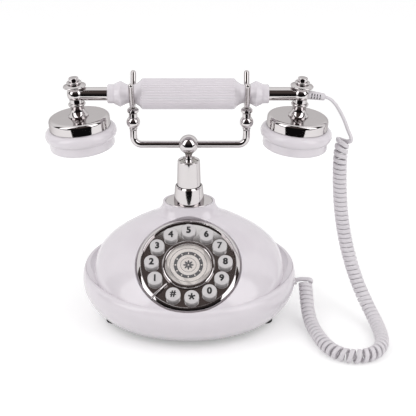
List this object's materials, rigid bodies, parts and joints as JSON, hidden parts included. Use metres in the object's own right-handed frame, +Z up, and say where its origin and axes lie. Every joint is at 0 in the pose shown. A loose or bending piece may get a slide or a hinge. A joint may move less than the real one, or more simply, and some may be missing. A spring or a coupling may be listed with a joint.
{
  "type": "pedestal telephone",
  "caption": "Oval table telephone with a sloping ring of push buttons, a chrome pedestal and sprung cradle, and a lift-off tube handset on a curly cord.",
  "frame": {"origin": "on the table under the middle of the oval base", "axes": "+X to the viewer's right along the handset, from the ear end to the mouth end, +Y to the rear, +Z up"},
  "size_m": [0.2864, 0.166, 0.2127],
  "materials": {
    "white_plastic": "glossy moulded, warm white",
    "chrome": "polished plate",
    "mirror_face": "flat mirror plate",
    "key_plastic": "glossy, domed, printed digits",
    "label_card": "printed card",
    "clear_lens": "clear plastic",
    "black_rubber": "matte",
    "grey_rubber": "matte",
    "circuit_board": "lacquered",
    "steel": "plated",
    "aluminium": "spun",
    "dark_plastic": "matte moulded",
    "natural_plastic": "satin",
    "cord_vinyl": "soft satin vinyl"
  },
  "bodies": {
    "base": {"base_shell": "white_plastic", "dial_bezel": "chrome", "dial_hub_ring": "chrome", "finger_stop": "chrome", "pedestal_flange": "chrome", "pedestal_collar": "chrome", "pedestal_column": "chrome", "dial_plate": "mirror_face", "dial_label": "label_card", "label_lens": "clear_lens", "rubber_feet": "black_rubber", "keypad_membrane": "grey_rubber", "keypad_board": "circuit_board", "main_board": "circuit_board", "base_screws": "steel", "board_screws": "steel", "hook_spring": "steel", "base_plate": "dark_plastic", "hook_switch": "dark_plastic", "ringer": "dark_plastic", "line_jack": "dark_plastic", "stem_bush": "natural_plastic", "pedestal_nut": "natural_plastic", "cord_bush": "cord_vinyl", "curly_cord": "cord_vinyl", "handset_lead": "cord_vinyl", "base_lead": "cord_vinyl"},
    "cradle": {"cradle_stem": "chrome", "cradle_rod": "chrome", "cradle_knob_left": "chrome", "cradle_knob_right": "chrome", "cradle_fork_left": "chrome", "cradle_fork_right": "chrome"},
    "handset": {"handset_tube": "chrome", "handset_grip": "white_plastic", "handset_collar_left": "white_plastic", "handset_collar_right": "white_plastic", "knuckle_left": "chrome", "knuckle_right": "chrome", "cord_boot": "cord_vinyl", "handset_finials": "chrome", "ear_cap": "chrome", "mouth_cap": "chrome", "cap_nuts": "steel", "earpiece": "white_plastic", "mouthpiece": "white_plastic", "receiver_capsule": "aluminium", "microphone_capsule": "aluminium"},
    "button_1": {"key_1": "key_plastic"},
    "button_2": {"key_2": "key_plastic"},
    "button_3": {"key_3": "key_plastic"},
    "button_4": {"key_4": "key_plastic"},
    "button_5": {"key_5": "key_plastic"},
    "button_6": {"key_6": "key_plastic"},
    "button_7": {"key_7": "key_plastic"},
    "button_8": {"key_8": "key_plastic"},
    "button_9": {"key_9": "key_plastic"},
    "button_0": {"key_0": "key_plastic"},
    "button_star": {"key_star": "key_plastic"},
    "button_hash": {"key_hash": "key_plastic"}
  },
  "joints": [
    {"name": "hook", "type": "slide", "parent": "base", "child": "cradle", "axis": [0, 0, 1], "range_m": [0, 0.004], "stiffness_N_per_m": 100, "springref_m": 0.02, "deforming": ["hook_spring", "curly_cord", "handset_lead", "base_lead"]},
    {"name": "handset_lift", "type": "slide", "parent": "cradle", "child": "handset", "axis": [0, 0, 1], "range_m": [0, 0.06], "deforming": ["curly_cord", "handset_lead", "base_lead"]},
    {"name": "press_1", "type": "slide", "parent": "base", "child": "button_1", "axis": [0, 0.5948, -0.8039], "range_m": [0, 0.0015], "stiffness_N_per_m": 400, "springref_m": -0.001},
    {"name": "press_2", "type": "slide", "parent": "base", "child": "button_2", "axis": [0, 0.5948, -0.8039], "range_m": [0, 0.0015], "stiffness_N_per_m": 400, "springref_m": -0.001},
    {"name": "press_3", "type": "slide", "parent": "base", "child": "button_3", "axis": [0, 0.5948, -0.8039], "range_m": [0, 0.0015], "stiffness_N_per_m": 400, "springref_m": -0.001},
    {"name": "press_4", "type": "slide", "parent": "base", "child": "button_4", "axis": [0, 0.5948, -0.8039], "range_m": [0, 0.0015], "stiffness_N_per_m": 400, "springref_m": -0.001},
    {"name": "press_5", "type": "slide", "parent": "base", "child": "button_5", "axis": [0, 0.5948, -0.8039], "range_m": [0, 0.0015], "stiffness_N_per_m": 400, "springref_m": -0.001},
    {"name": "press_6", "type": "slide", "parent": "base", "child": "button_6", "axis": [0, 0.5948, -0.8039], "range_m": [0, 0.0015], "stiffness_N_per_m": 400, "springref_m": -0.001},
    {"name": "press_7", "type": "slide", "parent": "base", "child": "button_7", "axis": [0, 0.5948, -0.8039], "range_m": [0, 0.0015], "stiffness_N_per_m": 400, "springref_m": -0.001},
    {"name": "press_8", "type": "slide", "parent": "base", "child": "button_8", "axis": [0, 0.5948, -0.8039], "range_m": [0, 0.0015], "stiffness_N_per_m": 400, "springref_m": -0.001},
    {"name": "press_9", "type": "slide", "parent": "base", "child": "button_9", "axis": [0, 0.5948, -0.8039], "range_m": [0, 0.0015], "stiffness_N_per_m": 400, "springref_m": -0.001},
    {"name": "press_0", "type": "slide", "parent": "base", "child": "button_0", "axis": [0, 0.5948, -0.8039], "range_m": [0, 0.0015], "stiffness_N_per_m": 400, "springref_m": -0.001},
    {"name": "press_star", "type": "slide", "parent": "base", "child": "button_star", "axis": [0, 0.5948, -0.8039], "range_m": [0, 0.0015], "stiffness_N_per_m": 400, "springref_m": -0.001},
    {"name": "press_hash", "type": "slide", "parent": "base", "child": "button_hash", "axis": [0, 0.5948, -0.8039], "range_m": [0, 0.0015], "stiffness_N_per_m": 400, "springref_m": -0.001}
  ]
}
